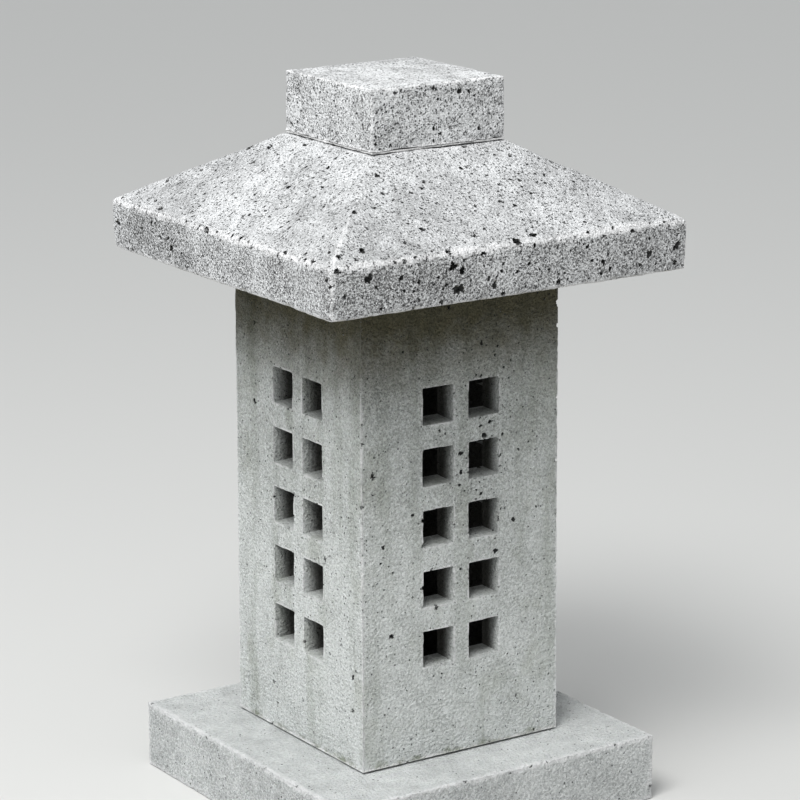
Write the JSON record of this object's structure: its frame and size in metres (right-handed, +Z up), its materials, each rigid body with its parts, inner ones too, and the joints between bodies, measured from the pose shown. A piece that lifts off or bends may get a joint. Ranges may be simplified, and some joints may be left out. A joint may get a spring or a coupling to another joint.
{
  "type": "stone lantern",
  "caption": "Cast-stone garden lantern: a square hollow light box with a grid of small windows on a base slab, under a pyramid roof and a square cap block.",
  "frame": {"origin": "centre of the base slab's underside", "axes": "+Z up through the cap block, -Y out of the front windows, +X to the right seen from the front"},
  "size_m": [0.337, 0.337, 0.5985],
  "materials": {
    "base_stone": "dry cast stone with open pores",
    "body_stone": "dry cast stone with open pores",
    "roof_stone": "dry cast stone with open pores",
    "cap_stone": "dry cast stone with open pores",
    "mortar": "weathered bedding mortar",
    "pad_rubber": "matt",
    "dowel_steel": "plain bar",
    "cup_aluminium": "pressed foil",
    "tab_steel": "plain",
    "wick_cotton": "waxed cotton",
    "wax": "paraffin wax"
  },
  "bodies": {
    "base": {"base_slab": "base_stone", "setting_pads": "pad_rubber"},
    "light_box": {"light_box": "body_stone"},
    "roof": {"roof": "roof_stone", "cap_bed": "mortar", "cap_dowel": "dowel_steel", "cap_block": "cap_stone"},
    "tea_light": {"candle_cup": "cup_aluminium", "wick_tab": "tab_steel", "candle_wick": "wick_cotton", "candle_wax": "wax"}
  },
  "joints": [
    {"name": "light_box_lift", "type": "slide", "parent": "base", "child": "light_box", "axis": [0, 0, 1], "range_m": [0, 0.1]},
    {"name": "roof_lift", "type": "slide", "parent": "light_box", "child": "roof", "axis": [0, 0, 1], "range_m": [0, 0.16]},
    {"name": "candle_lift", "type": "slide", "parent": "base", "child": "tea_light", "axis": [0, 0, 1], "range_m": [0, 0.2]}
  ]
}
